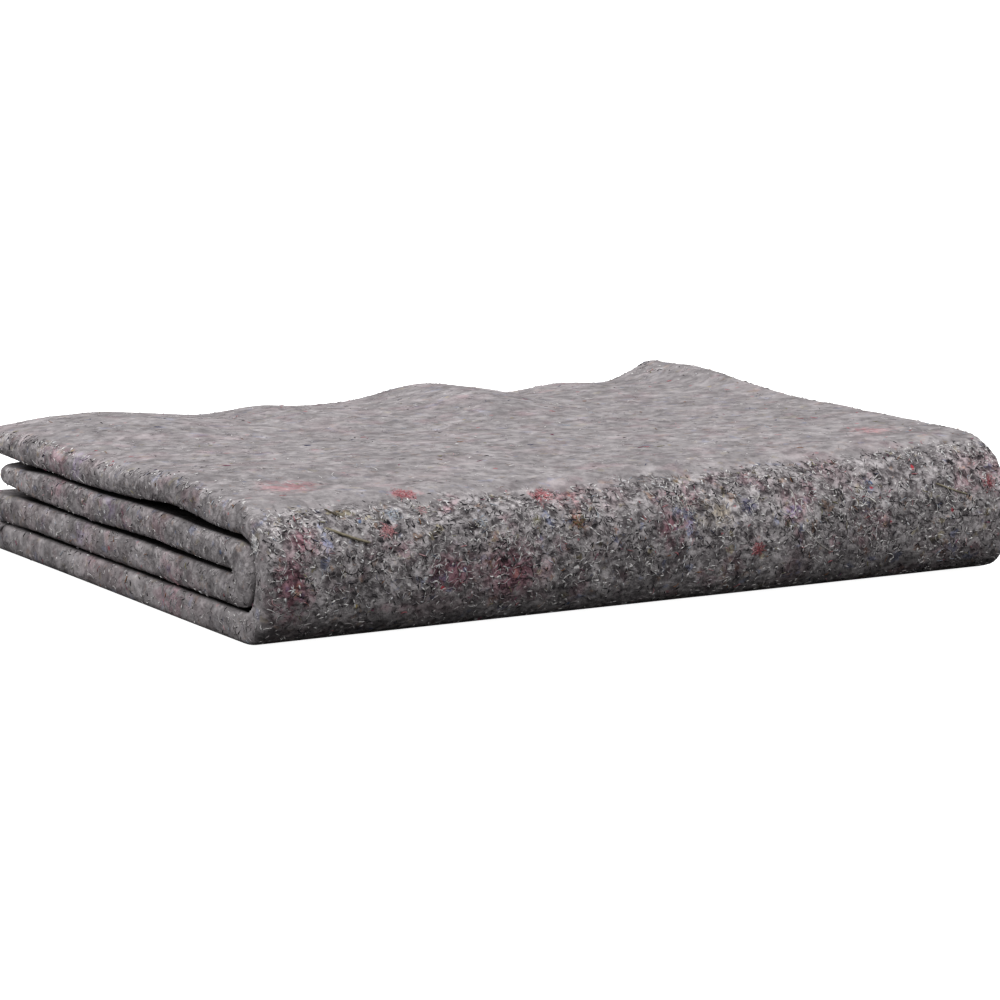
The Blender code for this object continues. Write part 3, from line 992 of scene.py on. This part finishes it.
SPOT_ROWS = (
    # colour, pitch of the cells, radius as a share, share of cells with a spot, strength, offset
    ((0.560, 0.050, 0.070), 0.0100, 0.17, 0.035, 0.90, (2.0, 4.0, 1.0)),
    ((0.620, 0.240, 0.260), 0.0085, 0.20, 0.050, 0.70, (6.0, 1.0, 3.0)),
    ((0.850, 0.830, 0.830), 0.0050, 0.24, 0.140, 0.80, (4.0, 4.0, 9.0)),
    ((0.020, 0.018, 0.022), 0.0060, 0.30, 0.160, 0.80, (8.0, 3.0, 5.0)),
    ((0.060, 0.140, 0.300), 0.0095, 0.17, 0.030, 0.80, (5.0, 9.0, 2.0)),
    ((0.480, 0.360, 0.080), 0.0110, 0.15, 0.025, 0.80, (7.0, 7.0, 7.0)),
)
SPOT_CORE = 0.6

# Fine relief: heights as shares of its depth
GRAIN_HEIGHT = 0.40
TUFT_HEIGHT = 0.60
HAIR_HEIGHT = 0.45
PIT_DEPTH = 0.50
RELIEF_DEPTH = 0.0016
RELIEF_STRENGTH = 0.9


def felt_roughness(graph):
    """Up to 1 on the folds, which are rough, and 0 on the top, which is combed flat."""
    border = graph.step(graph.noise(graph.place, "ragged border"), "ragged border")
    folds = graph.step(graph.plus(graph.part(graph.facing, 2), border), "rough shoulder")
    ends = graph.step(graph.calc("ABSOLUTE", graph.part(graph.facing, 0)), "calm cut ends")
    foot = graph.step(graph.part(graph.place, 2), "calm foot")
    return graph.times(folds, graph.times(ends, foot))


def felt_shade(graph, warped, rough):
    """The mixed grey of the felt with painted facing shade, and its grain and tufts for the
    relief.
    """
    up = graph.part(graph.facing, 2)
    fine = graph.step(graph.noise(warped, "fine grain"), "fine grain")
    coarse = graph.step(graph.noise(warped, "coarse grain"), "coarse grain")
    tone = graph.mix(graph.step(rough, "share of fine grain"), coarse, fine)
    contrast = graph.step(rough, "contrast")
    grain = graph.plus(graph.times(graph.minus(tone, MIDDLE), contrast), MIDDLE)
    tufts = graph.step(graph.noise(warped, "tufts"), "tufts")
    swing = graph.times(graph.minus(tufts, MIDDLE), graph.step(up, "swing of tufts"))
    # Painted shade on faces that turn down and painted light on those that turn up, off the flat
    # top
    facing_shade = graph.times(graph.step(up, "facing_shade"), graph.step(up, "slope"))
    colour = graph.mix(grain, FELT_DARK, FELT_LIGHT)
    colour = graph.gain(colour, graph.plus(swing, 1.0))
    return graph.gain(colour, graph.plus(facing_shade, 1.0)), grain, tufts


def add_tints(graph, colour, slow, calm):
    """Wide soft clouds of tinted fibre."""
    for tint, size, threshold, softness, strength, offset in TINT_ROWS:
        place = graph.shift(slow, offset)
        cloud = graph.free_noise(place, 1.0 / size, TINT_DETAIL, TINT_ROUGH)["Fac"]
        share = graph.free_step(cloud, threshold, threshold + softness, 0.0, strength)
        colour = graph.tint(graph.times(share, calm), colour, tint)
    return colour


def add_patches(graph, colour, slow):
    """The painted patches, with ragged borders."""
    patches = graph.attribute("patches")
    ragged = graph.noise(graph.shift(slow, PATCH_OFFSET), "ragged patches")
    ragged = graph.step(ragged, "ragged patches")
    share = graph.step(graph.plus(patches["Alpha"], ragged), "patch")
    share = graph.calc("MINIMUM", share, graph.times(patches["Alpha"], PATCH_GAIN))
    return graph.tint(share, colour, patches["Color"])


def add_pit_shade(graph, colour, warped, rough):
    """Near-black painted shade in the pits of the felt, and its share for the relief."""
    clumps = graph.noise(graph.shift(warped, PIT_SHADE_OFFSET), "pit_shade")
    pit_shade = graph.times(graph.step(clumps, "pit_shade"), graph.step(rough, "share of soot"))
    return graph.mix(pit_shade, colour, PIT_SHADE), pit_shade


def add_hairs(graph, colour, warped, rough):
    """Pale lint in thin curved lines, and its share for the relief."""
    for scale, offset, low, high in HAIR_ROWS:
        hairs = graph.free_noise(graph.shift(warped, offset), scale, HAIR_DETAIL, HAIR_ROUGH,
                                 "RIDGED_MULTIFRACTAL")["Fac"]
        pale = graph.times(graph.step(hairs, "hairs"), graph.free_step(rough, 0.0, 1.0, low, high))
        colour = graph.mix(pale, colour, LINT)
    return colour, pale


def add_spots(graph, colour, warped, calm):
    """Small spots of strong colour, each in a cell of its own."""
    for tint, pitch, radius, chance, strength, offset in SPOT_ROWS:
        cell = graph.cells(graph.shift(warped, offset), 1.0 / pitch)
        chosen = graph.calc("LESS_THAN", graph.part(cell["Color"], 0), chance)
        near = graph.free_step(cell["Distance"], radius * SPOT_CORE, radius, strength, 0.0)
        colour = graph.mix(graph.times(graph.times(chosen, near), calm), colour, tint)
    return colour


def felt_material():
    """Mixed grey felt of shredded textile fibres, with painted shade and painted light."""
    graph = Graph("grey_felt_looks", FELT_ROUGHNESS)
    rough = felt_roughness(graph)
    calm = graph.step(rough, "calm colours")
    slow = graph.push(graph.place, "slow push", SLOW_PUSH, graph.place)
    warped = graph.push(slow, "fine push", FINE_PUSH, graph.place)
    colour, grain, tufts = felt_shade(graph, warped, rough)
    colour = add_tints(graph, colour, slow, calm)
    colour = add_patches(graph, colour, slow)
    # Painted shade in the pits of the felt, which the relief also sinks
    colour, pit_shade = add_pit_shade(graph, colour, warped, rough)
    colour, pale = add_hairs(graph, colour, warped, rough)
    colour = add_spots(graph, colour, warped, calm)
    colour = graph.gain(colour, graph.step(graph.noise(graph.place, "clouds"), "clouds"))
    # Painted shade between the layers, from the blanket's point attribute
    colour = graph.gain(colour, graph.attribute("painted_gap_shade")["Fac"])
    height = graph.plus(graph.times(grain, GRAIN_HEIGHT), graph.times(tufts, TUFT_HEIGHT))
    height = graph.plus(height, graph.times(pale, HAIR_HEIGHT))
    height = graph.minus(height, graph.times(pit_shade, PIT_DEPTH))
    graph.bump(height, RELIEF_DEPTH, RELIEF_STRENGTH)
    return graph.finish(colour)


def fibre_material():
    """Fibres that take their colour from their mesh, a little uneven along their length."""
    graph = Graph("fibre_looks", roughness=0.85, sheen=0.05, gloss=0.10)
    uneven = graph.step(graph.noise(graph.place, "along a fibre"), "along a fibre")
    return graph.finish(graph.gain(graph.attribute("shade")["Color"], uneven))


# Studio
WHITE = (1.0, 1.0, 1.0, 1.0)
FLOOR_HALF = 14.0
FLOOR_ROWS = (
    # name, height, is it seen by the camera, grey, glow
    ("floor_white", 0.0, True, 0.80, 0.96),
    ("floor_dim", -0.0005, False, 0.05, 0.0),
)
LIGHT_ROWS = (
    # name, place, what it points at, size, power
    ("overhead", (0.0, 0.0, 2.6), (0.0, 0.0, 0.0), 6.0, 88.0),
    ("left", (-2.1, 0.5, 1.4), (-0.1, 0.0, 0.03), 1.6, 16.0),
    ("front", (0.8, -2.2, 2.2), (0.0, -0.1, 0.03), 2.0, 12.5),
)
WORLD_STRENGTH = 0.48
CAMERA_PLACE = (-1.1111, -1.9435, 0.3993)
CAMERA_AIM = (-0.1122, -0.2143, 0.0726)
CAMERA_LENS = 144.0
CAMERA_SENSOR = 36.0


def stand(item, place, aim):
    """Puts a lamp or the camera at a place and points it at another."""
    item.location = place
    turn = Vector(aim) - Vector(place)
    item.rotation_euler = turn.to_track_quat("-Z", "Y").to_euler()


def add_floor():
    """Two wide planes: a white one for the camera, and a dim one that returns little light."""
    corners = [(-FLOOR_HALF, -FLOOR_HALF), (FLOOR_HALF, -FLOOR_HALF),
               (FLOOR_HALF, FLOOR_HALF), (-FLOOR_HALF, FLOOR_HALF)]
    for name, height, seen, grey, glow in FLOOR_ROWS:
        data = bpy.data.meshes.new(name)
        data.from_pydata([(x, y, height) for x, y in corners], [], [(0, 1, 2, 3)])
        graph = Graph(name, roughness=1.0)
        graph.shader.inputs["Base Color"].default_value = (grey, grey, grey, 1.0)
        graph.shader.inputs["Emission Color"].default_value = WHITE
        graph.shader.inputs["Emission Strength"].default_value = glow
        data.materials.append(graph.material)
        floor = add_object(name, data)
        floor.visible_camera = seen
        floor.visible_diffuse = not seen
        floor.visible_glossy = not seen


def add_lights():
    """Wide soft lamps and an even white surround."""
    for name, place, aim, size, power in LIGHT_ROWS:
        light = bpy.data.lights.new(name, "AREA")
        light.shape = "RECTANGLE"
        light.size = size
        light.size_y = size
        light.energy = power
        stand(add_object(name, light), place, aim)
    world = bpy.data.worlds.new("studio")
    world.use_nodes = True
    shade = world.node_tree.nodes["Background"]
    shade.inputs["Color"].default_value = WHITE
    shade.inputs["Strength"].default_value = WORLD_STRENGTH
    bpy.context.scene.world = world
    bpy.context.scene.view_settings.view_transform = "Standard"


def add_camera():
    data = bpy.data.cameras.new("camera")
    data.sensor_width = CAMERA_SENSOR
    data.lens = CAMERA_LENS
    camera = add_object("camera", data)
    stand(camera, CAMERA_PLACE, CAMERA_AIM)
    bpy.context.scene.camera = camera


def path_length():
    """Length of the cloth along the middle of its thickness."""
    stations, _ = section(LENGTH / 2)
    middles = [Vector(outer).lerp(Vector(inner), 0.5) for outer, inner in stations]
    return sum((after - before).length for before, after in zip(middles, middles[1:]))


blanket, marks = build_blanket()
blanket.data.materials.append(felt_material())
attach(blanket, "root")
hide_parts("blanket")

surface = Surface(blanket, marks)
fibre_looks = fibre_material()
for row in FIBRE_ROWS:
    build_fibres(surface, row, fibre_looks)
build_knots(surface, fibre_looks)
build_straws(surface, fibre_looks)
path_length()

add_floor()
add_lights()
add_camera()
